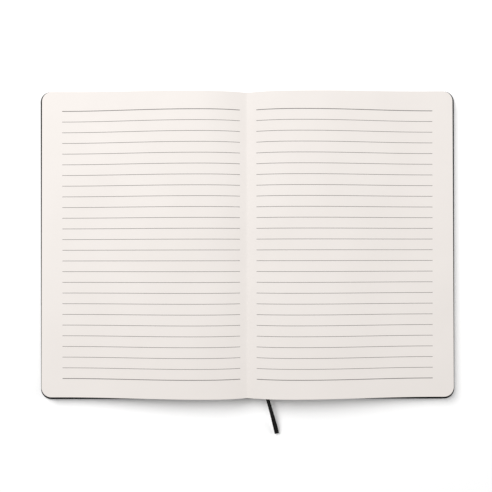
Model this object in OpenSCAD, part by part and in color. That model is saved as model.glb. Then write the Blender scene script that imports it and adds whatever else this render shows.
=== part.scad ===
// Ruled notebook with a wrapped hard cover and a ribbon marker, lying open near its middle.
// The origin is under the middle of the open cover, on the surface that it lies on.
// +X runs to the right-hand page, +Y to the head of the pages and +Z up.

/* [Cover] */
// Height of the cover from head to tail
cover_h = 210; // [170:1:300]
// Width of one cover board
board_w = 129.4; // [100:0.1:200]
// Thickness of one cover board
board_t = 2; // [1.2:0.1:3]
// Thickness of the leather-look skin
skin_t = 0.3; // [0.2:0.05:0.5]
// Plan radius of the cover's outer corners
corner_r = 7; // [3:0.5:15]
// Round on the cover's outer edges
edge_r = 0.6; // [0.3:0.1:0.8]
// Width of the skin that is turned in over the board
turn_in = 14; // [8:0.5:25]
// Thickness of the pasted-down endpaper
endpaper_t = 0.15; // [0.1:0.05:0.3]
// Border of turned-in skin that the endpaper leaves bare
endpaper_border = 3; // [1:0.5:6]

/* [Spine] */
// Width of the flexible joint between a board and the spine strip
joint_w = 5; // [4:0.5:8]
// Depth of the groove along each joint
groove_d = 0.9; // [0.5:0.1:1.1]
// Flat width at the bottom of each groove
groove_flat = 2; // [1:0.1:3]
// Thickness of the spine strip
strip_t = 1; // [0.6:0.1:1.5]
// Height of the hollow that opens between the spine strip and the lining
hollow = 2; // [0.1:0.1:3]
// Thickness of the cloth lining on the back of the pages
lining_t = 0.4; // [0.2:0.1:0.8]
// How far the lining stops short of the pages' head and tail
lining_short = 8; // [2:1:30]
// How far the spine stops short of the cover's head
spine_short = 0.7; // [0.1:0.1:2]

/* [Pages] */
// Thickness of one half of the pages at the fore edge
half_t = 4.6; // [3:0.1:10]
// Cover that shows past the pages at the fore edge
fore_square = 2.7; // [1:0.05:5]
// Cover that shows past the pages at the head
head_square = 1.35; // [0.5:0.05:5]
// Cover that shows past the pages at the tail
tail_square = 2.4; // [1:0.1:5]
// Plan radius of the pages' outer corners
page_r = 6.5; // [2:0.5:10]
// How much further each fore edge stands out at the tail than at the head
tail_flare = 0.65; // [0:0.05:1]
// How far the head edge draws in from the fore edges to the swells
head_draw = 1.2; // [0.1:0.1:2]
// How far the tail edge dips at the gutter
tail_dip = 0.4; // [0.1:0.1:1.2]
// Distance from the gutter at which that dip begins
tail_dip_w = 60; // [8:1:90]
// Air between the endpaper and the pages that lie on it
page_gap = 0.15; // [0.1:0.05:0.5]
// Paper between the back of the pages and the bottom of the gutter
gutter_t = 4.8; // [2.5:0.1:6]
// Rise of the left page's swell above its fore edge
left_rise = 7.15; // [2:0.1:14]
// Rise of the right page's swell above its fore edge
right_rise = 7.55; // [2:0.1:14]
// Distance from the gutter to the top of the left swell
left_swell = 34.5; // [24:0.5:50]
// Distance from the gutter to the top of the right swell
right_swell = 36; // [24:0.5:50]
// Flat strip of page along the fore edge
fore_flat = 11.7; // [4:0.1:30]

/* [Ruling] */
// Distance from one rule to the next
rule_pitch = 7.215; // [5:0.005:12]
// Width of a rule
rule_w = 0.3; // [0.2:0.05:0.6]
// Width of the first and the last rule
end_rule_w = 0.45; // [0.2:0.05:1]
// Height of the printed ink above the paper
ink_t = 0.1; // [0.05:0.01:0.2]
// Distance from the pages' head to the first rule
head_margin = 13.15; // [8:0.05:30]
// Least distance from the last rule to the pages' tail
tail_margin = 12; // [6:0.1:30]
// Distance from the fore edge to the outer ends of the rules
outer_margin = 13.6; // [6:0.1:30]
// Distance from the gutter to the inner ends of the left rules
left_inner = 5; // [3:0.1:20]
// Distance from the gutter to the inner ends of the right rules
right_inner = 6.1; // [3:0.1:20]

/* [Ribbon] */
// Width of the ribbon marker
ribbon_w = 3; // [2:0.1:4]
// Thickness of the ribbon marker
ribbon_t = 0.3; // [0.2:0.05:0.4]
// Play around the ribbon between the pages
ribbon_play = 0.1; // [0.05:0.05:0.3]

/* [Hidden] */

skin_colour = "#19191b";
board_colour = "#8d857a";
paper_colour = "#ece6dd";
ink_colour = "#858585";
cloth_colour = "#d8d4cb";

// Heights above the table
cover_t = skin_t + board_t;
pastedown_top = cover_t + endpaper_t;
page_floor = pastedown_top + page_gap;
strip_top = skin_t + strip_t;
back_z = strip_top + hollow + lining_t;
gutter_z = back_z + gutter_t;
fore_z = page_floor + half_t;
headroom = 5;

// Places along X, for the right-hand side
spine_x = half_t + board_t;
hinge_x = spine_x + joint_w / 2;
groove_x0 = hinge_x - groove_flat / 2;
groove_x1 = hinge_x + groove_flat / 2;
board_x = spine_x + joint_w;
cover_x = board_x + board_w + skin_t;
page_x = cover_x - fore_square;
back_x = half_t + lining_t;

// Places along Y
page_head = cover_h / 2 - head_square;
page_tail = -cover_h / 2 + tail_square;
spine_head = cover_h / 2 - spine_short;

// From the gutter the page surface rises ever less steeply, by this power, and is level at the
// swell. From there it falls along a cosine to the fore edge.
rise_power = 2.5;
rise_steps = 11;
fall_steps = 12;

// Facets of the rounded corners in plan, and the angle of one on the cover's rounded edge
corner_steps = 8;
edge_step = 30;

// The ribbon is glued by the spine near the head, runs straight between the pages and leaves
// at the tail. Each place is x, y and z.
held_below_head = 5.65;
held_above_back = 1.5;
out_above_floor = 3.4;
ribbon_held = [3.6, page_head - held_below_head, back_z + held_above_back];
ribbon_out = [13.1, page_tail - tail_dip, page_floor + out_above_floor];
ribbon_roll = 40;
held_steps = 6;

// From there it droops past the cover's edge, sways aside and turns level towards its end
ribbon_reach = 25.8;
ribbon_sway = 6.85;
sway_ease = 0.15;
ribbon_end_z = 1.4;
free_steps = 12;
ribbon_spots = concat(
    [for (i = [0 : held_steps - 1]) ribbon_held + i / held_steps * (ribbon_out - ribbon_held)],
    [for (i = [0 : free_steps]) let (u = i / free_steps) [
        ribbon_out[0] + ribbon_sway * u * (1 + sway_ease * (1 - u)),
        ribbon_out[1] - ribbon_reach * u,
        ribbon_out[2] - (ribbon_out[2] - ribbon_end_z) * u * u
    ]]
);
ribbon_rolls = concat(
    [for (i = [0 : held_steps - 1]) ribbon_roll],
    [for (i = [0 : free_steps]) ribbon_roll * cos(90 * i / free_steps)]
);

// Width of the ribbon's thinner selvedge, and its thickness there
ribbon_selvedge = 0.2;
selvedge_t = 0.1;

// Points of an arc between two angles
function arc(centre, r, from, to) =
    [for (i = [0 : corner_steps]) let (a = from + (to - from) * i / corner_steps)
        [centre[0] + r * cos(a), centre[1] + r * sin(a)]];

function backwards(list) = [for (i = [len(list) - 1 : -1 : 0]) list[i]];

// Distance from the gutter and height, along one page from the gutter to past its fore edge
function page_line(rise, swell) =
    let (top = fore_z + rise, lie = page_x - fore_flat)
    concat(
        [for (i = [0 : rise_steps]) let (u = i / rise_steps)
            [swell * u, gutter_z + (top - gutter_z) * (1 - pow(1 - u, rise_power))]],
        [for (i = [1 : fall_steps]) let (u = i / fall_steps)
            [swell + (lie - swell) * u, fore_z + rise * (1 + cos(180 * u)) / 2]],
        [[cover_x, fore_z]]
    );

left_line = page_line(left_rise, left_swell);
right_line = page_line(right_rise, right_swell);

// Outline of one cover seen from above, drawn in by inset on its three free edges
function cover_outline(inset) =
    let (x = cover_x - inset, y = cover_h / 2 - inset, r = corner_r - inset)
    concat(
        [[hinge_x, -y]],
        arc([x - r, -y + r], r, -90, 0),
        arc([x - r, y - r], r, 0, 90),
        [[hinge_x, y]]
    );

// Stretches the section from the cover's tail to the given place
module along_cover(head) {
    translate([0, head, 0]) rotate([90, 0, 0]) linear_extrude(head + cover_h / 2) children();
}

// The pages, one solid: their section along Y, cut to their plan with rounded corners
module page_block() {
    tail_x = page_x + tail_flare;
    lie = page_x - fore_flat;
    drawn_head = page_head - head_draw;
    section = concat(
        right_line,
        [[cover_x, page_floor], [hinge_x, page_floor], [back_x, back_z],
         [-back_x, back_z], [-hinge_x, page_floor], [-cover_x, page_floor]],
        [for (p = backwards(left_line)) if (p[0] > 0) [-p[0], p[1]]]
    );
    plan = concat(
        [[0, page_tail - tail_dip], [tail_dip_w, page_tail]],
        arc([tail_x - page_r, page_tail + page_r], page_r, -90, 0),
        arc([page_x - page_r, page_head - page_r], page_r, 0, 90),
        [[lie, page_head], [right_swell, drawn_head], [-left_swell, drawn_head], [-lie, page_head]],
        arc([-page_x + page_r, page_head - page_r], page_r, 90, 180),
        arc([-tail_x + page_r, page_tail + page_r], page_r, 180, 270),
        [[-tail_dip_w, page_tail]]
    );
    color(paper_colour) difference() {
        intersection() {
            along_cover(cover_h / 2) polygon(section);
            linear_extrude(fore_z + max(left_rise, right_rise) + headroom) polygon(plan);
        }
        ribbon_slot();
    }
}

// The straight slit that the ribbon lies in, open at the tail
module ribbon_slot() {
    way = ribbon_out - ribbon_held;
    reach = norm(way);
    translate(ribbon_held)
        rotate([0, 0, atan(way[0] / -way[1])])
        rotate([-asin(way[2] / reach), 0, 0])
        rotate([0, -ribbon_roll, 0])
        translate([-ribbon_w / 2 - ribbon_play, -reach - headroom, -ribbon_t / 2 - ribbon_play])
        cube([ribbon_w + 2 * ribbon_play, reach + headroom + ribbon_play, ribbon_t + 2 * ribbon_play]);
}

// One rule, laid on the page between two distances from the gutter
module rule(line, from, to, width) {
    places = concat([from], [for (p = line) if (p[0] > from && p[0] < to) p[0]], [to]);
    paper = [for (d = places) [d, lookup(d, line)]];
    ink = [for (p = paper) [p[0], p[1] + ink_t]];
    rotate([90, 0, 0]) linear_extrude(width, center = true) polygon(concat(paper, backwards(ink)));
}

// Every rule on both pages, with a broader one first and last
module ruled_lines() {
    count = floor((page_head - page_tail - head_margin - tail_margin) / rule_pitch) + 1;
    outer = page_x - outer_margin;
    color(ink_colour) for (i = [0 : count - 1]) {
        width = i == 0 || i == count - 1 ? end_rule_w : rule_w;
        translate([0, page_head - head_margin - i * rule_pitch, 0]) {
            rule(right_line, right_inner, outer, width);
            mirror([1, 0, 0]) rule(left_line, left_inner, outer, width);
        }
    }
}

// Cloth glued to the back of the pages
module spine_lining() {
    length = page_head - page_tail - 2 * lining_short;
    color(cloth_colour) translate([-back_x, page_tail + lining_short, back_z - lining_t])
        cube([2 * back_x, length, lining_t]);
}

// Stiff strip inside the spine of the cover
module spine_strip() {
    color(board_colour) translate([-spine_x, -cover_h / 2 + skin_t, skin_t])
        cube([2 * spine_x, spine_head + cover_h / 2 - 2 * skin_t, strip_t]);
}

// The skin across the spine, from the middle of one joint groove to the middle of the other
module spine_skin() {
    outer = [[spine_x, 0], [groove_x0, groove_d], [hinge_x, groove_d]];
    inner = [for (p = backwards(outer)) [p[0], p[1] + skin_t]];
    half = concat(outer, inner);
    color(skin_colour) {
        along_cover(spine_head) polygon(concat(half, [for (p = backwards(half)) [-p[0], p[1]]]));
        for (y = [-cover_h / 2, spine_head - skin_t])
            translate([-spine_x, y, skin_t]) cube([2 * spine_x, skin_t, strip_t]);
    }
}

// One cover board, with its inner face pressed down where the skin is turned in
module board() {
    x = cover_x - skin_t;
    y = cover_h / 2 - skin_t;
    r = corner_r - skin_t;
    outline = concat(
        [[board_x, -y]],
        arc([x - r, -y + r], r, -90, 0),
        arc([x - r, y - r], r, 0, 90),
        [[board_x, y]]
    );
    window = cover_h - 2 * turn_in;
    color(board_colour) translate([0, 0, skin_t]) {
        linear_extrude(board_t - skin_t) polygon(outline);
        translate([board_x, -window / 2, 0]) cube([board_w + skin_t - turn_in, window, board_t]);
    }
}

// One cover's skin: its outer face and joint, its rounded edges and its turned-in border
module cover_skin() {
    section = [
        [hinge_x, groove_d], [groove_x1, groove_d], [board_x, 0], [cover_x, 0],
        [cover_x, cover_t], [board_x, cover_t], [board_x, skin_t],
        [groove_x1, groove_d + skin_t], [hinge_x, groove_d + skin_t]
    ];
    sheet = 0.01;
    color(skin_colour) difference() {
        intersection() {
            along_cover(cover_h / 2) polygon(section);
            hull() for (a = [0 : edge_step : 90]) {
                inset = edge_r * (1 - sin(a));
                level = edge_r * (1 - cos(a));
                for (z = [level, cover_t - level - sheet])
                    translate([0, 0, z]) linear_extrude(sheet) polygon(cover_outline(inset));
            }
        }
        board();
    }
}

// The endpaper pasted on the inside of one cover, as far as the joint
module pastedown() {
    x = cover_x - endpaper_border;
    y = cover_h / 2 - endpaper_border;
    r = max(corner_r - endpaper_border, endpaper_border);
    outline = concat(
        [[hinge_x + page_gap, -y]],
        arc([x - r, -y + r], r, -90, 0),
        arc([x - r, y - r], r, 0, 90),
        [[hinge_x + page_gap, y]]
    );
    color(paper_colour) translate([0, 0, cover_t]) linear_extrude(endpaper_t) polygon(outline);
}

// The flat woven ribbon, swept along its route with eight sides
module ribbon_marker() {
    half = ribbon_w / 2;
    flat = half - ribbon_selvedge;
    edge = selvedge_t / 2;
    face = ribbon_t / 2;
    section = [
        [half, edge], [flat, face], [-flat, face], [-half, edge],
        [-half, -edge], [-flat, -face], [flat, -face], [half, -edge]
    ];
    last = len(ribbon_spots) - 1;
    points = [for (i = [0 : last]) let (
            way = ribbon_spots[min(i + 1, last)] - ribbon_spots[max(i - 1, 0)],
            side = cross([0, 0, 1], way) / norm(cross([0, 0, 1], way)),
            up = cross(way, side) / norm(cross(way, side)),
            roll = ribbon_rolls[i],
            across = side * cos(roll) + up * sin(roll),
            through = up * cos(roll) - side * sin(roll))
        for (s = section) ribbon_spots[i] + across * s[0] + through * s[1]];
    sides = len(section);
    walls = [for (i = [0 : last - 1], j = [0 : sides - 1]) let (k = (j + 1) % sides)
        [i * sides + j, i * sides + k, (i + 1) * sides + k, (i + 1) * sides + j]];
    held_end = [for (j = [sides - 1 : -1 : 0]) j];
    free_end = [for (j = [0 : sides - 1]) last * sides + j];
    color(skin_colour) polyhedron(points, concat([held_end], walls, [free_end]));
}

// The front cover is the back cover mirrored
module front_board() { mirror([1, 0, 0]) board(); }
module front_cover_skin() { mirror([1, 0, 0]) cover_skin(); }
module front_pastedown() { mirror([1, 0, 0]) pastedown(); }

page_block();
ruled_lines();
spine_lining();
spine_strip();
spine_skin();
front_board();
front_cover_skin();
front_pastedown();
board();  // back_board
cover_skin();  // back_cover_skin
pastedown();  // back_pastedown
ribbon_marker();
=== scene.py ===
import math
import random

import bpy
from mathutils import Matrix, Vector, noise


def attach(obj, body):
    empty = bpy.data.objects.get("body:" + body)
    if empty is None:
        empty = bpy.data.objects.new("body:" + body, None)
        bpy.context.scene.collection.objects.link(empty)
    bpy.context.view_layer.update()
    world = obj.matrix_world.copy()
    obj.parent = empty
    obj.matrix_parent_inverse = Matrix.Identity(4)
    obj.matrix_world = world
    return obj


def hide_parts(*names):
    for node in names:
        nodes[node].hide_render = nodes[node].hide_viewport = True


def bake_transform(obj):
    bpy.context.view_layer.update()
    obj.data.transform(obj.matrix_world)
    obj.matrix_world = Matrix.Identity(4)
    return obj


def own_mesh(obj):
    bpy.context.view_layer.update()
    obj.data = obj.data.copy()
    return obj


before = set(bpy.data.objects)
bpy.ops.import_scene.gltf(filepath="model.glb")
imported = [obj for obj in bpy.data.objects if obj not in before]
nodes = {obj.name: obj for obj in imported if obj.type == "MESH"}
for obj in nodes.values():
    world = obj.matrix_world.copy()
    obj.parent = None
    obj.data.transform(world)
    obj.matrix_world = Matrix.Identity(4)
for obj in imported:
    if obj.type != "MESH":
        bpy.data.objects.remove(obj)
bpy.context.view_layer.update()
mm = 0.001
print("frame loaded:", len(nodes), "nodes")


def deselectAll():
    bpy.ops.object.select_all(action="DESELECT")


def editMesh(obj):  # edit mode with nothing selected
    deselectAll()
    bpy.context.view_layer.objects.active = obj
    obj.select_set(True)
    bpy.ops.object.mode_set(mode="EDIT")
    bpy.ops.mesh.select_all(action="DESELECT")


def leaveEdit():
    bpy.ops.object.mode_set(mode="OBJECT")


def pick(obj, faceTest=None, edgeTest=None):  # selects faces or edges by their place
    bpy.ops.mesh.select_mode(type="FACE" if faceTest else "EDGE")
    leaveEdit()
    mesh = obj.data
    for v in mesh.vertices:
        v.select = False
    for e in mesh.edges:
        a, b = (mesh.vertices[i].co for i in e.vertices)
        e.select = bool(edgeTest and edgeTest(a, b))
    for f in mesh.polygons:
        f.select = bool(faceTest and faceTest(f.center, f.normal))
    bpy.ops.object.mode_set(mode="EDIT")


def newBlock(name, low, high):  # a block between two corners, its place in its mesh
    deselectAll()
    size = [b - a for a, b in zip(low, high)]
    centre = [(a + b) / 2 for a, b in zip(low, high)]
    bpy.ops.mesh.primitive_cube_add(size=1, location=centre, scale=size)
    obj = bpy.context.object
    obj.name = obj.data.name = name
    bpy.ops.object.transform_apply(location=True, rotation=True, scale=True)
    return obj


def newGrid(name, across, along):  # a grid whose vertices stand on whole numbers
    deselectAll()
    bpy.ops.mesh.primitive_grid_add(x_subdivisions=across, y_subdivisions=along, size=1,
                                    location=(across / 2, along / 2, 0))
    obj = bpy.context.object
    obj.name = obj.data.name = name
    obj.scale = (across, along, 1)
    bpy.ops.object.transform_apply(location=True, rotation=True, scale=True)
    return obj


def cutAcross(obj, axis, places):  # straight cuts right through, one for each place
    bpy.ops.mesh.select_mode(type="VERT")
    for place in places:
        bpy.ops.mesh.select_all(action="SELECT")
        point, normal = [0, 0, 0], [0, 0, 0]
        point[axis], normal[axis] = place, 1
        bpy.ops.mesh.bisect(plane_co=point, plane_no=normal)
    bpy.ops.mesh.select_all(action="DESELECT")


def applyModifier(obj, kind, **settings):
    deselectAll()
    bpy.context.view_layer.objects.active = obj
    obj.select_set(True)
    made = obj.modifiers.new(kind.title(), kind)
    for key, value in settings.items():
        setattr(made, key, value)
    bpy.ops.object.modifier_apply(modifier=made.name)


def tidyMesh(obj, angle=35, near=1e-6):  # welds, points the faces outwards and shades
    editMesh(obj)
    bpy.ops.mesh.select_all(action="SELECT")
    bpy.ops.mesh.remove_doubles(threshold=near)
    bpy.ops.mesh.normals_make_consistent(inside=False)
    leaveEdit()
    bpy.ops.object.shade_smooth_by_angle(angle=math.radians(angle))


def smoothStep(t):
    t = min(1, max(0, t))
    return t * t * (3 - 2 * t)


def mirrored(obj, name):  # the same piece on the other side of the spine, its own mesh
    deselectAll()
    bpy.context.view_layer.objects.active = obj
    obj.select_set(True)
    bpy.ops.object.duplicate()
    twin = bpy.context.object
    twin.name = twin.data.name = name
    for v in twin.data.vertices:
        v.co.x = -v.co.x
    editMesh(twin)
    bpy.ops.mesh.select_all(action="SELECT")
    bpy.ops.mesh.flip_normals()
    leaveEdit()
    return twin


photoCamera = {"height": 430 * mm, "y": -8.7 * mm, "lens": 45.8, "shiftX": -0.003,
               "shiftY": 0.0244, "rollDegrees": -0.09}


def makeCamera(c):
    bpy.ops.object.camera_add(location=(0, c["y"], c["height"]),
                              rotation=(0, 0, math.radians(c["rollDegrees"])))
    camera = bpy.context.object
    camera.name = "photoCamera"
    camera.data.sensor_width = 36
    camera.data.lens = c["lens"]
    camera.data.shift_x, camera.data.shift_y = c["shiftX"], c["shiftY"]
    bpy.context.scene.camera = camera
    print("camera placed")


makeCamera(photoCamera)


ribbon = {  # places and the free run in mm
    "width": 3 * mm, "thick": 0.3 * mm, "selvedge": 0.2 * mm, "edgeThick": 0.16 * mm,
    "held": (3.6, 98, 5.2), "out": (13.1, -103, 6), "roll": 40,
    "heldAt": (0, 0.25, 0.5, 0.72, 0.86, 0.94, 0.98),
    "reach": 25.8, "sway": 6.85, "ease": 0.15, "endZ": 1.4, "freeSteps": 12,
    "stepCuts": 2, "acrossCuts": 8,
}


def ribbonRoute(r):
    held, out = Vector(r["held"]), Vector(r["out"])
    spots = [(held.lerp(out, share), r["roll"]) for share in r["heldAt"]]  # closer where it comes out
    for i in range(r["freeSteps"] + 1):
        u = i / r["freeSteps"]
        aside = r["sway"] * u * (1 + r["ease"] * (1 - u))
        spots.append((out + Vector((aside, -r["reach"] * u, (r["endZ"] - out.z) * u * u)),
                      r["roll"] * math.cos(math.pi / 2 * u)))
    return [(p * mm, math.radians(roll)) for p, roll in spots]


def smoothRoute(spots, cuts):  # a Catmull-Rom line through the route's points
    line = []
    for i in range(len(spots) - 1):
        a, b, c, d = (spots[min(max(i + n, 0), len(spots) - 1)][0] for n in (-1, 0, 1, 2))
        for n in range(cuts):
            t = n / cuts
            point = 0.5 * (2 * b + (c - a) * t + (2 * a - 5 * b + 4 * c - d) * t * t
                           + (3 * b - 3 * c + d - a) * t ** 3)
            line.append((point, spots[i][1] * (1 - t) + spots[i + 1][1] * t))
    return line + [spots[-1]]


def makeRibbon(r):
    route = smoothRoute(ribbonRoute(r), r["stepCuts"])
    half, flat = r["width"] / 2, r["width"] / 2 - r["selvedge"]
    edge, face = r["edgeThick"] / 2, r["thick"] / 2
    across = r["acrossCuts"]
    top = [(flat - 2 * flat * n / across, face) for n in range(across + 1)]
    ring = [(half, edge)] + top + [(-half, edge), (-half, -edge)]
    ring += [(-x, -z) for x, z in top] + [(half, -edge)]
    points, faces, uvs, run = [], [], [], 0
    for i, (spot, roll) in enumerate(route):
        before, after = route[max(i - 1, 0)][0], route[min(i + 1, len(route) - 1)][0]
        way = (after - before).normalized()
        side = Vector((0, 0, 1)).cross(way).normalized()
        up = way.cross(side)
        wide = side * math.cos(roll) + up * math.sin(roll)
        thick = up * math.cos(roll) - side * math.sin(roll)
        run += (spot - before).length if i else 0
        for x, z in ring:
            points.append(spot + wide * x + thick * z)
            uvs.append(((x + half) / r["width"], run / r["width"]))
    n = len(ring)
    for i in range(len(route) - 1):
        for j in range(n):
            k = (j + 1) % n
            faces.append((i * n + j, i * n + k, (i + 1) * n + k, (i + 1) * n + j))
    faces += [tuple(range(n))[::-1], tuple(range((len(route) - 1) * n, len(route) * n))]
    mesh = bpy.data.meshes.new("ribbon_tape")
    mesh.from_pydata(points, [], faces)
    layer = mesh.uv_layers.new(name="tape")
    for loop in mesh.loops:
        layer.data[loop.index].uv = uvs[loop.vertex_index]
    tape = bpy.data.objects.new("ribbon_tape", mesh)
    bpy.context.scene.collection.objects.link(tape)
    tidyMesh(tape, 50, 1e-7)
    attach(tape, "pages")
    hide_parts("ribbon_marker")
    return tape


tape = makeRibbon(ribbon)


pages = {  # mm, with x from the gutter and z from the table
    "foreX": 138.6, "foreZ": 7.2, "gutterZ": 8.5, "flat": 11.7, "risePower": 2.5,
    "rise": {-1: 7.15, 1: 7.55}, "swell": {-1: 34.5, 1: 36},
    "head": 103.65, "tail": -102.6, "corner": 6.5, "flare": 0.65, "headDraw": 1.2,
    "dip": 0.4, "dipWide": 60, "under": 2.6, "backX": 5, "backZ": 3.7, "slopeX": 9.1,
    "upCuts": 3, "riseCuts": 32, "fallCuts": 32, "flatCuts": 6,
    "cornerCuts": 8, "lengthCuts": 30, "leafRows": 24, "rowsInSection": 6,
    "leafPlay": 0.05, "sectionDip": 0.07, "foldRound": 0.35,
    "crowd": 1.6, "endFrom": 60, "endWide": 40, "seed": 7, "wander": 0.5, "wanderEvery": 0.05,
}


def pageZ(side, d):  # height of the page surface at a distance from the gutter
    p = pages
    top, swell, lie = p["foreZ"] + p["rise"][side], p["swell"][side], p["foreX"] - p["flat"]
    if d <= swell:
        rise = (top - p["gutterZ"]) * (1 - (1 - max(d, 0) / swell) ** p["risePower"])
        return p["gutterZ"] + math.hypot(rise, p["foldRound"])  # the fold's bottom is round, not a crease
    if d <= lie:
        return p["foreZ"] + p["rise"][side] * (1 + math.cos(math.pi * (d - swell) / (lie - swell))) / 2
    return p["foreZ"]


def topLine(side):  # the uppermost leaf, from the back of the fold to the fore edge
    p = pages
    swell, lie = p["swell"][side], p["foreX"] - p["flat"]
    fold = pageZ(side, 0)
    line = [(0, p["backZ"] + (fold - p["backZ"]) * i / p["upCuts"]) for i in range(p["upCuts"])]
    for i in range(p["riseCuts"] + 1):
        d = swell * (i / p["riseCuts"]) ** p["crowd"]  # closer together in the gutter
        line.append((d, pageZ(side, d)))
    for i in range(1, p["fallCuts"] + 1):
        d = swell + (lie - swell) * i / p["fallCuts"]
        line.append((d, pageZ(side, d)))
    line += [(lie + p["flat"] * i / p["flatCuts"], p["foreZ"]) for i in range(1, p["flatCuts"] + 1)]
    return line


def bottomLine(upper):  # the lowest leaf, its points spread as the upper ones are
    p = pages
    runs = [0]
    for a, b in zip(upper, upper[1:]):
        runs.append(runs[-1] + math.dist(a, b))
    line = []
    for run in runs:
        x = p["backX"] + (p["foreX"] - p["backX"]) * run / runs[-1]
        t = min(1, (x - p["backX"]) / (p["slopeX"] - p["backX"]))
        line.append((x, p["backZ"] + (p["under"] - p["backZ"]) * t))
    return line


def rowPlaces():  # y of each row and the fore edge's x there, from tail to head
    p = pages
    r, places = p["corner"], []
    for i in range(p["cornerCuts"]):
        a = math.pi / 2 * (1 - i / p["cornerCuts"])
        places.append((p["tail"] + r * (1 - math.sin(a)),
                       p["foreX"] + p["flare"] - r * (1 - math.cos(a))))
    for i in range(p["lengthCuts"] + 1):
        t = i / p["lengthCuts"]
        places.append((p["tail"] + r + (p["head"] - p["tail"] - 2 * r) * t,
                       p["foreX"] + p["flare"] * (1 - t)))
    for i in range(1, p["cornerCuts"] + 1):
        a = math.pi / 2 * i / p["cornerCuts"]
        places.append((p["head"] - r * (1 - math.sin(a)), p["foreX"] - r * (1 - math.cos(a))))
    return places


def makeHalf(side):
    p = pages
    upper = topLine(side)
    lower = bottomLine(upper)
    rows = rowPlaces()
    columns, lines, leaves = len(upper) - 1, len(rows) - 1, p["leafRows"]
    half = newGrid("half_pages", columns, lines)
    editMesh(half)
    bpy.ops.mesh.select_all(action="SELECT")
    for _ in range(leaves):
        bpy.ops.mesh.extrude_region_move(TRANSFORM_OT_translate={"value": (0, 0, 1)})
    leaveEdit()
    random.seed(p["seed"] + side)
    play = [random.uniform(-1, 0) * p["leafPlay"] for _ in range(leaves + 1)]
    for k in range(p["rowsInSection"], leaves, p["rowsInSection"]):
        play[k] -= p["sectionDip"]
    play[leaves] = play[0] = 0
    leaf = half.data.attributes.new("leaf", "FLOAT", "POINT")
    lie = p["foreX"] - p["flat"]
    for v in half.data.vertices:
        i, j, k = (round(c) for c in v.co)
        s = k / leaves
        x = lower[i][0] * (1 - s) + upper[i][0] * s
        z = lower[i][1] * (1 - s) + upper[i][1] * s
        y, edgeX = rows[j]
        if x > lie:
            x = lie + (x - lie) * (edgeX - lie) / (p["foreX"] - lie)
        draw = min(1, max(0, (lie - x) / (lie - p["swell"][side])))
        y -= p["headDraw"] * draw * smoothStep((y - p["endFrom"]) / p["endWide"])
        if x < p["dipWide"]:
            y -= p["dip"] * (1 - x / p["dipWide"]) * smoothStep((-y - p["endFrom"]) / p["endWide"])
        if i == columns:
            x += play[k] * (1 + p["wander"] * noise.noise(Vector((p["wanderEvery"] * y, k, side))))
        if j == 0:
            y -= play[k]
        if j == lines:
            y += play[k]
        leaf.data[v.index].value = s
        v.co = (side * x * mm, y * mm, z * mm)
    # the wall between the two halves goes, so that they become one block
    editMesh(half)
    pick(half, faceTest=lambda c, n: abs(c.x) < 1e-6 and c.z < p["gutterZ"] * mm)
    bpy.ops.mesh.delete(type="FACE")
    leaveEdit()
    return half


def makePages():
    left, right = makeHalf(-1), makeHalf(1)
    deselectAll()
    left.select_set(True)
    right.select_set(True)
    bpy.context.view_layer.objects.active = right
    bpy.ops.object.join()
    block = bpy.context.object
    block.name = block.data.name = "page_leaves"
    tidyMesh(block, 40)
    for f in block.data.polygons:  # 0 is the paper's face, 1 the edges of the leaves
        level = {round(block.data.attributes["leaf"].data[v].value, 4) for v in f.vertices}
        f.material_index = 0 if len(level) == 1 else 1
    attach(block, "pages")
    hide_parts("page_block")
    print("pages made,", len(block.data.polygons), "faces")
    return block


leaves = makePages()


rules = {  # mm
    "pitch": 7.215, "first": 90.5, "count": 26, "width": 0.3, "endWidth": 0.45,
    "inner": {-1: 5, 1: 6.1}, "outer": 125, "cuts": 70, "crowd": 1.5, "lift": 0.012, "thick": 0.02,
}


def makeRules():
    made = []
    for side in (-1, 1):
        for n in range(rules["count"]):
            strip = newGrid("rule", rules["cuts"], 1)
            width = rules["endWidth"] if n in (0, rules["count"] - 1) else rules["width"]
            y = rules["first"] - n * rules["pitch"]
            start, reach = rules["inner"][side], rules["outer"] - rules["inner"][side]
            for v in strip.data.vertices:
                t = v.co.x / rules["cuts"]
                d = start + reach * t ** rules["crowd"]  # closer together where the page is steep
                v.co = (side * d * mm, (y + (v.co.y - 0.5) * width) * mm,
                        (pageZ(side, d) + rules["lift"]) * mm)
            made.append(strip)
    deselectAll()
    for strip in made:
        strip.select_set(True)
    bpy.context.view_layer.objects.active = made[0]
    bpy.ops.object.join()
    ink = bpy.context.object
    ink.name = ink.data.name = "printed_rules"
    tidyMesh(ink, 60)
    for f in ink.data.polygons:
        if f.normal.z < 0:
            f.flip()
    applyModifier(ink, "SOLIDIFY", thickness=rules["thick"] * mm, offset=1)
    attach(ink, "pages")
    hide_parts("ruled_lines")
    print("rules made,", len(made))
    return ink


ink = makeRules()


cover = {  # mm
    "x": 141.3, "y": 105, "thick": 2.3, "skin": 0.3, "corner": 7, "round": 0.6, "spineShort": 0.7,
    "spineX": 6.6, "boardX": 11.6, "grooveX": (8.1, 10.1), "grooveZ": 0.9,
    "stripTop": 1.6, "foldTop": 0.62, "turnIn": 14, "pleatRing": 4, "pleat": 0.07,
    "spineTurnIn": 9, "spineRound": 0.5, "spineFrom": 90, "spineWide": 15, "step": 0.9, "pleatReach": 5,
    "cornerCuts": 14, "roundCuts": 5, "spineRoundCuts": 4, "jointStep": 0.25, "jointCuts": 21,
    "cutsX": (14, 20, 40, 70, 100), "cutsY": (-60, -20, 20, 60), "spineCuts": (-4.4, -2.2, 0, 2.2, 4.4),
}


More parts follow.
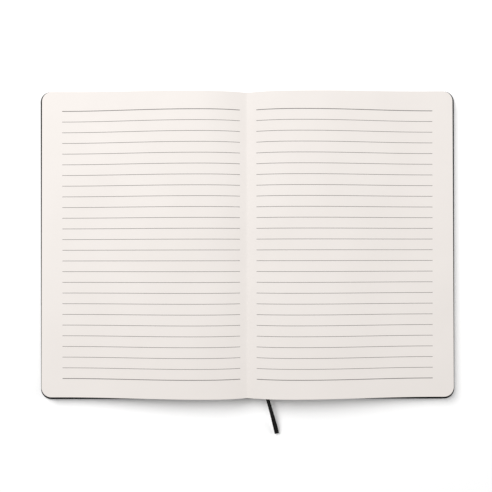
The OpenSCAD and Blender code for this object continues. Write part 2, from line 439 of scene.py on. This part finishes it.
def grooveZ(x):  # how far the joint groove lifts the skin
    c = cover
    x = abs(x)
    if x < c["grooveX"][0]:
        return c["grooveZ"] * smoothStep((x - c["spineX"]) / (c["grooveX"][0] - c["spineX"]))
    return c["grooveZ"] * smoothStep((c["boardX"] - x) / (c["boardX"] - c["grooveX"][1]))


def coverHeight(x):  # distance from the skin's outer face to its turned-in face
    c = cover
    x = abs(x)
    down = smoothStep((x - c["spineX"]) / c["step"])
    up = smoothStep((x - c["boardX"] + c["step"]) / c["step"])
    return c["stripTop"] * (1 - down) + c["foldTop"] * down * (1 - up) + c["thick"] * up


def headDraw(x, y):  # the skin is drawn in towards the shorter head of the spine
    c = cover
    near = 1 - smoothStep((abs(x) - c["spineX"]) / (c["boardX"] - c["spineX"]))
    return c["spineShort"] * near * smoothStep((y - c["spineFrom"]) / c["spineWide"])


def makeCoverWrap():
    c = cover
    x0, x1, y1, thick = c["spineX"] * mm, c["x"] * mm, c["y"] * mm, c["thick"] * mm
    wrap = newBlock("back_wrap", (x0, -y1, 0), (x1, y1, thick))
    editMesh(wrap)
    pick(wrap, edgeTest=lambda a, b: a.x > x1 - 1e-5 and b.x > x1 - 1e-5 and abs(a.z - b.z) > 1e-4)
    bpy.ops.mesh.bevel(offset=c["corner"] * mm, segments=c["cornerCuts"], affect="EDGES")
    pick(wrap, faceTest=lambda f, n: f.x < x0 + 1e-5)
    bpy.ops.mesh.delete(type="ONLY_FACE")
    pick(wrap, edgeTest=lambda a, b: abs(a.z - b.z) < 1e-6 and max(a.x, b.x) > x0 + 1e-5)
    bpy.ops.mesh.bevel(offset=c["round"] * mm, segments=c["roundCuts"], affect="EDGES")
    pick(wrap, faceTest=lambda f, n: n.z > 0.99)
    bpy.ops.mesh.inset(thickness=c["pleatRing"] * mm, use_boundary=False)
    joint = [c["spineX"] + c["jointStep"] * n for n in range(1, c["jointCuts"] + 1)]
    cutAcross(wrap, 0, [x * mm for x in (*joint, *c["cutsX"], c["x"] - c["turnIn"])])
    cutAcross(wrap, 1, [y * mm for y in (-c["y"] + c["turnIn"], *c["cutsY"], c["y"] - c["turnIn"])])
    inX, inY = (c["x"] - c["turnIn"]) * mm, (c["y"] - c["turnIn"]) * mm
    pick(wrap, faceTest=lambda f, n: n.z > 0.99 and f.z > thick - 1e-6
         and f.x < inX and abs(f.y) < inY)
    bpy.ops.mesh.delete(type="FACE")
    leaveEdit()
    centre = Vector((x1 - c["corner"] * mm, y1 - c["corner"] * mm))
    for v in wrap.data.vertices:
        v.co.z = (grooveZ(v.co.x / mm) + v.co.z / thick * coverHeight(v.co.x / mm)) * mm
        v.co.y -= headDraw(v.co.x / mm, v.co.y / mm) * mm
        out = Vector((v.co.x, abs(v.co.y))) - centre
        ring = v.co.z > thick - 1e-6 and min(out) > 0 and out.length < c["pleatReach"] * mm
        if ring:  # the gathers where the skin is tucked in round the corner
            turn = math.atan2(out.y, out.x) / (math.pi / 2) * c["cornerCuts"]
            v.co.z -= c["pleat"] * mm * (round(turn) % 2)
    editMesh(wrap)
    bpy.ops.mesh.select_all(action="SELECT")
    bpy.ops.mesh.normals_make_consistent(inside=False)
    leaveEdit()
    applyModifier(wrap, "SOLIDIFY", thickness=c["skin"] * mm, offset=-1, use_even_offset=True)
    tidyMesh(wrap, 40, 1e-7)
    return wrap


def makeSpineWrap():
    c = cover
    x1, y1, top = c["spineX"] * mm, c["y"] * mm, c["stripTop"] * mm
    wrap = newBlock("spine_wrap", (-x1, -y1, 0), (x1, y1, top))
    editMesh(wrap)
    pick(wrap, faceTest=lambda f, n: abs(n.x) > 0.9)
    bpy.ops.mesh.delete(type="ONLY_FACE")
    pick(wrap, edgeTest=lambda a, b: abs(a.y - b.y) < 1e-6 and abs(a.z - b.z) < 1e-6)
    bpy.ops.mesh.bevel(offset=c["spineRound"] * mm, segments=c["spineRoundCuts"], affect="EDGES")
    inY = (c["y"] - c["spineTurnIn"]) * mm
    cutAcross(wrap, 1, (-inY, *(y * mm for y in c["cutsY"]), inY))
    cutAcross(wrap, 0, [x * mm for x in c["spineCuts"]])
    pick(wrap, faceTest=lambda f, n: f.z > top - 1e-6 and abs(f.y) < inY)
    bpy.ops.mesh.delete(type="FACE")
    bpy.ops.mesh.select_all(action="SELECT")
    bpy.ops.mesh.normals_make_consistent(inside=False)
    leaveEdit()
    for v in wrap.data.vertices:
        v.co.y -= headDraw(0, v.co.y / mm) * mm
    applyModifier(wrap, "SOLIDIFY", thickness=c["skin"] * mm, offset=-1, use_even_offset=True)
    tidyMesh(wrap, 40, 1e-7)
    return wrap


endpaper = {  # mm
    "from": 6.3, "border": 3, "corner": 4, "thick": 0.15, "base": 2.3, "clear": 0.06,
    "cornerCuts": 8, "jointStep": 0.3, "jointCuts": 19,
    "cutsX": (20, 45, 70, 95, 120), "cutsY": (-90, -60, -30, 0, 30, 60, 90),
}


def makeEndpaper():
    c, e = cover, endpaper
    x0, x1, y1 = e["from"] * mm, (c["x"] - e["border"]) * mm, (c["y"] - e["border"]) * mm
    sheet = newBlock("back_endpaper", (x0, -y1, 0), (x1, y1, e["thick"] * mm))
    editMesh(sheet)
    pick(sheet, edgeTest=lambda a, b: a.x > x1 - 1e-5 and b.x > x1 - 1e-5 and abs(a.z - b.z) > 1e-5)
    bpy.ops.mesh.bevel(offset=e["corner"] * mm, segments=e["cornerCuts"], affect="EDGES")
    joint = [e["from"] + e["jointStep"] * n for n in range(1, e["jointCuts"] + 1)]
    cutAcross(sheet, 0, [x * mm for x in (*joint, *e["cutsX"])])
    cutAcross(sheet, 1, [y * mm for y in e["cutsY"]])
    leaveEdit()
    for v in sheet.data.vertices:
        x = v.co.x / mm
        t = min(1, (x - pages["backX"]) / (pages["slopeX"] - pages["backX"]))
        under = pages["backZ"] + (pages["under"] - pages["backZ"]) * t - e["clear"] - e["thick"]
        down = smoothStep((x - pages["slopeX"]) / (c["boardX"] - pages["slopeX"]))
        v.co.z += (under * (1 - down) + e["base"] * down) * mm
    tidyMesh(sheet, 40)
    return sheet


def makeCover():
    backWrap = makeCoverWrap()
    frontWrap = mirrored(backWrap, "front_wrap")
    spineWrap = makeSpineWrap()
    backPaper = makeEndpaper()
    frontPaper = mirrored(backPaper, "front_endpaper")
    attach(spineWrap, "pages")
    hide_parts("spine_skin")
    sides = (("front", -1, frontWrap, frontPaper), ("back", 1, backWrap, backPaper))
    for name, sign, wrap, paper in sides:
        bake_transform(wrap)
        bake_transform(paper)
        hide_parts(name + "_cover_skin")
        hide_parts(name + "_pastedown")
    print("cover made")
    return (frontWrap, backWrap, spineWrap), (frontPaper, backPaper)


wraps, papers = makeCover()


def newGroup(name, inputs, outputs):
    group = bpy.data.node_groups.new(name, "ShaderNodeTree")
    for label, kind, value in inputs:
        made = group.interface.new_socket(label, in_out="INPUT", socket_type="NodeSocket" + kind)
        if value is not None:
            made.default_value = value
    for label, kind in outputs:
        group.interface.new_socket(label, in_out="OUTPUT", socket_type="NodeSocket" + kind)
    start = group.nodes.new("NodeGroupInput")
    end = group.nodes.new("NodeGroupOutput")
    return group, start, end


def addNode(tree, kind, **settings):  # sockets are given by name, the rest are properties
    node = tree.nodes.new("ShaderNode" + kind)
    for key, value in settings.items():
        if hasattr(node, key):
            setattr(node, key, value)
        else:
            node.inputs[key].default_value = value
    return node


def mathNode(tree, operation, a, b=None, c=None, clamp=False):
    node = tree.nodes.new("ShaderNodeMath")
    node.operation, node.use_clamp = operation, clamp
    for n, value in enumerate((a, b, c)):
        if value is None:
            continue
        if hasattr(value, "is_output"):
            tree.links.new(value, node.inputs[n])
        else:
            node.inputs[n].default_value = value
    return node.outputs[0]


def makeFibreGroup():  # pulp fibres and soft clouds in paper and board
    inputs = (("Vector", "Vector", None), ("Fibres", "Float", 900.0), ("Clouds", "Float", 18.0))
    group, start, end = newGroup("paperFibre", inputs, (("Fibre", "Float"), ("Cloud", "Float")))
    fine = addNode(group, "TexNoise", noise_dimensions="3D", Detail=6.0, Roughness=0.7, Distortion=1.4)
    cloud = addNode(group, "TexNoise", noise_dimensions="3D", Detail=3.0, Roughness=0.5)
    links = group.links
    links.new(start.outputs["Vector"], fine.inputs["Vector"])
    links.new(start.outputs["Vector"], cloud.inputs["Vector"])
    links.new(start.outputs["Fibres"], fine.inputs["Scale"])
    links.new(start.outputs["Clouds"], cloud.inputs["Scale"])
    links.new(fine.outputs["Fac"], end.inputs["Fibre"])
    links.new(cloud.outputs["Fac"], end.inputs["Cloud"])
    return group


def makeWeaveGroup():  # over-and-under threads, for the ribbon and the lining cloth
    inputs = (("Vector", "Vector", None), ("Across", "Float", 30.0), ("Along", "Float", 30.0))
    group, start, end = newGroup("threadWeave", inputs, (("Height", "Float"), ("Gap", "Float")))
    parts = addNode(group, "SeparateXYZ")
    group.links.new(start.outputs["Vector"], parts.inputs[0])
    u = mathNode(group, "MULTIPLY", parts.outputs["X"], start.outputs["Across"])
    v = mathNode(group, "MULTIPLY", parts.outputs["Y"], start.outputs["Along"])
    humpU = mathNode(group, "ABSOLUTE", mathNode(group, "SINE", mathNode(group, "MULTIPLY", u, math.pi)))
    humpV = mathNode(group, "ABSOLUTE", mathNode(group, "SINE", mathNode(group, "MULTIPLY", v, math.pi)))
    both = mathNode(group, "ADD", mathNode(group, "FLOOR", u), mathNode(group, "FLOOR", v))
    odd = mathNode(group, "PINGPONG", both, 1.0)
    over = mathNode(group, "MULTIPLY", odd, humpU)
    under = mathNode(group, "MULTIPLY", mathNode(group, "SUBTRACT", 1.0, odd), humpV)
    group.links.new(mathNode(group, "ADD", over, under), end.inputs["Height"])
    hump = mathNode(group, "MAXIMUM", humpU, humpV)
    group.links.new(mathNode(group, "SUBTRACT", 1.0, hump), end.inputs["Gap"])
    return group


fibreGroup = makeFibreGroup()
weaveGroup = makeWeaveGroup()


def newMaterial(name, **settings):
    material = bpy.data.materials.new(name)
    material.use_nodes = True
    tree = material.node_tree
    shader = tree.nodes["Principled BSDF"]
    for key, value in settings.items():
        shader.inputs[key].default_value = value
    return material, tree, shader


def objectCoords(tree):
    return addNode(tree, "TexCoord").outputs["Object"]


def placeGroup(tree, group, vector, **values):
    node = tree.nodes.new("ShaderNodeGroup")
    node.node_tree = group
    tree.links.new(vector, node.inputs["Vector"])
    for key, value in values.items():
        node.inputs[key].default_value = value
    return node


def rampColours(tree, factor, stops):
    ramp = addNode(tree, "ValToRGB")
    elements = ramp.color_ramp.elements
    while len(elements) < len(stops):
        elements.new(0.5)
    for element, (place, colour) in zip(elements, stops):
        element.position = place
        element.color = (*colour, 1)
    tree.links.new(factor, ramp.inputs["Fac"])
    return ramp.outputs["Color"]


def bumpFrom(tree, shader, height, strength, distance):
    bump = addNode(tree, "Bump", Strength=strength, Distance=distance)
    tree.links.new(height, bump.inputs["Height"])
    tree.links.new(bump.outputs["Normal"], shader.inputs["Normal"])
    return bump


def remap(tree, value, low, high):
    node = addNode(tree, "MapRange")
    node.inputs["To Min"].default_value, node.inputs["To Max"].default_value = low, high
    tree.links.new(value, node.inputs["Value"])
    return node.outputs["Result"]


# edge and the darkest edge tone are the paper darkened towards the gaps between leaves: painted shade
# between the leaves
pagePaper = {"pale": (0.715, 0.675, 0.645), "deep": (0.695, 0.655, 0.625), "edge": (0.66, 0.61, 0.55),
             "leafGapShade": (0.47, 0.42, 0.355), "leaves": 48}


def makePageMaterial(p):
    material, tree, shader = newMaterial("creamPage", Roughness=0.78)
    shader.inputs["Specular IOR Level"].default_value = 0.25
    where = objectCoords(tree)
    fibre = placeGroup(tree, fibreGroup, where, Fibres=2600.0, Clouds=26.0)
    blend = mathNode(tree, "MULTIPLY_ADD", fibre.outputs["Fibre"], 0.35,
                     mathNode(tree, "MULTIPLY", fibre.outputs["Cloud"], 0.65))
    colour = rampColours(tree, blend, ((0.35, p["deep"]), (0.65, p["pale"])))
    tree.links.new(colour, shader.inputs["Base Color"])
    tree.links.new(remap(tree, fibre.outputs["Fibre"], 0.7, 0.86), shader.inputs["Roughness"])
    bumpFrom(tree, shader, fibre.outputs["Fibre"], 0.12, 0.00008)
    return material


def makeLeafEdgeMaterial(p):
    material, tree, shader = newMaterial("leafEdges", Roughness=0.85)
    leaf = addNode(tree, "Attribute", attribute_name="leaf").outputs["Fac"]
    where = objectCoords(tree)
    fibre = placeGroup(tree, fibreGroup, where, Fibres=700.0, Clouds=60.0)
    wobble = mathNode(tree, "MULTIPLY", fibre.outputs["Cloud"], 0.018)
    turns = mathNode(tree, "MULTIPLY", mathNode(tree, "ADD", leaf, wobble), float(p["leaves"]))
    wave = mathNode(tree, "ABSOLUTE", mathNode(tree, "SINE", mathNode(tree, "MULTIPLY", turns, math.pi)))
    shade = mathNode(tree, "MULTIPLY", mathNode(tree, "POWER", wave, 0.4),
                     mathNode(tree, "MULTIPLY_ADD", fibre.outputs["Fibre"], 0.5, 0.75), clamp=True)
    # the edge faces are painted darker towards each gap between leaves: painted shade, with the fibre noise
    # as the paper's own tone
    colour = rampColours(tree, shade, ((0.0, p["leafGapShade"]), (0.55, p["edge"]), (1.0, p["deep"])))
    tree.links.new(colour, shader.inputs["Base Color"])
    tree.links.new(remap(tree, fibre.outputs["Fibre"], 0.8, 0.95), shader.inputs["Roughness"])
    bumpFrom(tree, shader, wave, 0.5, 0.00005)
    return material


tones = {  # where each tone stands on its ramp, and its colour
    "ink": ((0.3, (0.14, 0.13, 0.125)), (0.7, (0.21, 0.195, 0.185))),
    "endpaper": ((0.35, (0.72, 0.672, 0.61)), (0.65, (0.77, 0.725, 0.665))),
    "board": ((0.3, (0.16, 0.14, 0.115)), (0.55, (0.27, 0.24, 0.2)), (0.75, (0.36, 0.33, 0.28))),
    # the dark stops of cloth and ribbon are painted shade where the threads dip under
    "cloth": ((0.1, (0.3, 0.27, 0.22)), (0.6, (0.62, 0.58, 0.5)), (0.9, (0.74, 0.71, 0.64))),
    "ribbon": ((0.1, (0.002, 0.002, 0.002)), (0.9, (0.009, 0.0085, 0.0088))),
}


def makeInkMaterial():
    material, tree, shader = newMaterial("greyInk", Roughness=0.7)
    shader.inputs["Specular IOR Level"].default_value = 0.2
    fibre = placeGroup(tree, fibreGroup, objectCoords(tree), Fibres=2600.0, Clouds=120.0)
    blend = mathNode(tree, "MULTIPLY_ADD", fibre.outputs["Fibre"], 0.6,
                     mathNode(tree, "MULTIPLY", fibre.outputs["Cloud"], 0.4))
    colour = rampColours(tree, blend, tones["ink"])
    tree.links.new(colour, shader.inputs["Base Color"])
    tree.links.new(remap(tree, fibre.outputs["Fibre"], 0.6, 0.8), shader.inputs["Roughness"])
    return material


# dark is the painted shade in the grain's valleys and cracks, light the pebble tops
skin = {"dark": (0.0025, 0.0025, 0.003), "light": (0.0075, 0.0075, 0.008),
        "pebble": 1500.0, "crease": 500.0}


def makeSkinMaterial(s):
    material, tree, shader = newMaterial("blackLeatherLook", Roughness=0.5)
    shader.inputs["Specular IOR Level"].default_value = 0.08
    where = objectCoords(tree)
    links = tree.links
    warp = addNode(tree, "TexNoise", Scale=s["crease"], Detail=3.0, Roughness=0.6)
    links.new(where, warp.inputs["Vector"])
    pebble = addNode(tree, "TexVoronoi", feature="SMOOTH_F1", Scale=s["pebble"],
                     Smoothness=0.35, Randomness=0.9)
    links.new(where, pebble.inputs["Vector"])
    cracks = addNode(tree, "TexVoronoi", feature="DISTANCE_TO_EDGE", Scale=s["crease"])
    links.new(where, cracks.inputs["Vector"])
    valley = mathNode(tree, "MULTIPLY", mathNode(tree, "MINIMUM", cracks.outputs["Distance"], 0.18), 4.0)
    height = mathNode(tree, "ADD", mathNode(tree, "MULTIPLY", pebble.outputs["Distance"], -0.6),
                      mathNode(tree, "MULTIPLY_ADD", warp.outputs["Fac"], 0.5, valley))
    # the colour follows the grain's height, darker in its valleys and cracks: painted shade; the roughness
    # from it is real
    tone = mathNode(tree, "MULTIPLY_ADD", height, 0.6, 0.2, clamp=True)
    links.new(rampColours(tree, tone, ((0.15, s["dark"]), (0.85, s["light"]))), shader.inputs["Base Color"])
    soft = addNode(tree, "TexNoise", Scale=40.0, Detail=3.0)
    links.new(where, soft.inputs["Vector"])
    rough = mathNode(tree, "ADD", remap(tree, soft.outputs["Fac"], -0.06, 0.06),
                     remap(tree, tone, 0.6, 0.42))
    links.new(rough, shader.inputs["Roughness"])
    bumpFrom(tree, shader, height, 0.35, 0.00012)
    return material


def makeEndpaperMaterial():
    material, tree, shader = newMaterial("creamEndpaper", Roughness=0.8)
    shader.inputs["Specular IOR Level"].default_value = 0.25
    where = objectCoords(tree)
    fibre = placeGroup(tree, fibreGroup, where, Fibres=1800.0, Clouds=30.0)
    colour = rampColours(tree, fibre.outputs["Cloud"], tones["endpaper"])
    tree.links.new(colour, shader.inputs["Base Color"])
    tree.links.new(remap(tree, fibre.outputs["Fibre"], 0.72, 0.88), shader.inputs["Roughness"])
    # the edge of the turned-in skin shows through as a soft ridge
    place = addNode(tree, "SeparateXYZ")
    tree.links.new(where, place.inputs[0])
    sideways = mathNode(tree, "ABSOLUTE", place.outputs["X"])
    lengthways = mathNode(tree, "ABSOLUTE", place.outputs["Y"])
    inX, inY = (cover["x"] - cover["turnIn"]) * mm, (cover["y"] - cover["turnIn"]) * mm
    past = mathNode(tree, "MAXIMUM", mathNode(tree, "SUBTRACT", sideways, inX),
                    mathNode(tree, "SUBTRACT", lengthways, inY))
    ridge = addNode(tree, "MapRange", interpolation_type="SMOOTHSTEP")
    ridge.inputs["From Min"].default_value, ridge.inputs["From Max"].default_value = -0.0006, 0.0006
    tree.links.new(past, ridge.inputs["Value"])
    height = mathNode(tree, "MULTIPLY_ADD", fibre.outputs["Fibre"], 0.15, ridge.outputs["Result"])
    bumpFrom(tree, shader, height, 0.6, 0.0002)
    return material


def makeBoardMaterial():
    material, tree, shader = newMaterial("greyBoard", Roughness=0.9)
    fibre = placeGroup(tree, fibreGroup, objectCoords(tree), Fibres=1200.0, Clouds=220.0)
    blend = mathNode(tree, "MULTIPLY_ADD", fibre.outputs["Fibre"], 0.5,
                     mathNode(tree, "MULTIPLY", fibre.outputs["Cloud"], 0.5))
    colour = rampColours(tree, blend, tones["board"])
    tree.links.new(colour, shader.inputs["Base Color"])
    tree.links.new(remap(tree, fibre.outputs["Fibre"], 0.82, 0.97), shader.inputs["Roughness"])
    bumpFrom(tree, shader, fibre.outputs["Fibre"], 0.5, 0.00015)
    return material


def makeClothMaterial():
    material, tree, shader = newMaterial("liningCloth", Roughness=0.9)
    where = objectCoords(tree)
    weave = placeGroup(tree, weaveGroup, where, Across=1400.0, Along=1400.0)
    fibre = placeGroup(tree, fibreGroup, where, Fibres=3000.0, Clouds=90.0)
    # darker where the threads dip under: painted shade between threads; the fibre noise is the cloth's own
    # tone
    shade = mathNode(tree, "MULTIPLY_ADD", weave.outputs["Height"], 0.7,
                     mathNode(tree, "MULTIPLY", fibre.outputs["Fibre"], 0.3))
    colour = rampColours(tree, shade, tones["cloth"])
    tree.links.new(colour, shader.inputs["Base Color"])
    tree.links.new(remap(tree, fibre.outputs["Cloud"], 0.8, 0.95), shader.inputs["Roughness"])
    bumpFrom(tree, shader, weave.outputs["Height"], 0.7, 0.0002)
    return material


def makeRibbonMaterial():
    material, tree, shader = newMaterial("blackSatinTape", Roughness=0.45)
    shader.inputs["Specular IOR Level"].default_value = 0.12
    run = addNode(tree, "UVMap", uv_map="tape").outputs["UV"]
    weave = placeGroup(tree, weaveGroup, run, Across=22.0, Along=30.0)
    fibre = placeGroup(tree, fibreGroup, objectCoords(tree), Fibres=4000.0, Clouds=200.0)
    # darker where the threads dip under: painted shade between threads; the fibre noise is the tape's own
    # tone
    shade = mathNode(tree, "MULTIPLY_ADD", weave.outputs["Height"], 0.7,
                     mathNode(tree, "MULTIPLY", fibre.outputs["Fibre"], 0.3))
    colour = rampColours(tree, shade, tones["ribbon"])
    tree.links.new(colour, shader.inputs["Base Color"])
    tree.links.new(remap(tree, shade, 0.62, 0.42), shader.inputs["Roughness"])
    bumpFrom(tree, shader, weave.outputs["Height"], 0.5, 0.00006)
    return material


def dress(obj, *materials):
    obj.data.materials.clear()
    for material in materials:
        obj.data.materials.append(material)


def dressAll():
    faceOf = [f.material_index for f in leaves.data.polygons]
    dress(leaves, makePageMaterial(pagePaper), makeLeafEdgeMaterial(pagePaper))
    for f, index in zip(leaves.data.polygons, faceOf):
        f.material_index = index
    dress(ink, makeInkMaterial())
    dress(tape, makeRibbonMaterial())
    skinMaterial, paperMaterial = makeSkinMaterial(skin), makeEndpaperMaterial()
    boardMaterial = makeBoardMaterial()
    for wrap in wraps:
        dress(wrap, skinMaterial)
    for paper in papers:
        dress(paper, paperMaterial)
    for name in ("front_board", "back_board", "spine_strip"):
        dress(nodes[name], boardMaterial)
    dress(nodes["spine_lining"], makeClothMaterial())
    print("materials dressed")


dressAll()


studio = {
    "tableDrop": 0.05 * mm, "tableReach": 3.0, "foldedTable": -0.16, "tableColour": (0.93, 0.93, 0.93, 1),
    "skyStrength": 0.38,
    "key": {"place": (-0.52, 0.58, 0.95), "size": 0.85, "power": 15.0},
    "fill": {"place": (1.15, 0.15, 0.6), "size": 0.6, "power": 6.0},
}


def makeTable(s):
    material, tree, shader = newMaterial("whiteTable", Roughness=0.9)
    shader.inputs["Base Color"].default_value = s["tableColour"]
    shader.inputs["Specular IOR Level"].default_value = 0.1
    # one half for each cover, a slab under that cover's side of the table
    for name, sign in (("front", -1), ("back", 1)):
        x0, x1 = sorted((0, sign * s["tableReach"]))
        half = newBlock("table_" + name, (x0, -s["tableReach"], s["foldedTable"]),
                        (x1, s["tableReach"], -s["tableDrop"]))
        half.data.materials.append(material)
        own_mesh(half)


def makeLight(s):
    world = bpy.data.worlds.new("studio")
    world.use_nodes = True
    world.node_tree.nodes["Background"].inputs["Color"].default_value = (1, 1, 1, 1)
    world.node_tree.nodes["Background"].inputs["Strength"].default_value = s["skyStrength"]
    bpy.context.scene.world = world
    for name in ("key", "fill"):
        place = Vector(s[name]["place"])
        bpy.ops.object.light_add(type="AREA", location=place)
        lamp = bpy.context.object
        lamp.name = name + "Light"
        lamp.data.shape = "DISK"
        lamp.data.size, lamp.data.energy = s[name]["size"], s[name]["power"]
        lamp.rotation_mode = "QUATERNION"
        lamp.rotation_quaternion = (-place).to_track_quat("-Z", "Y")
    bpy.context.scene.view_settings.view_transform = "Standard"


makeTable(studio)
makeLight(studio)
print("table and light made")
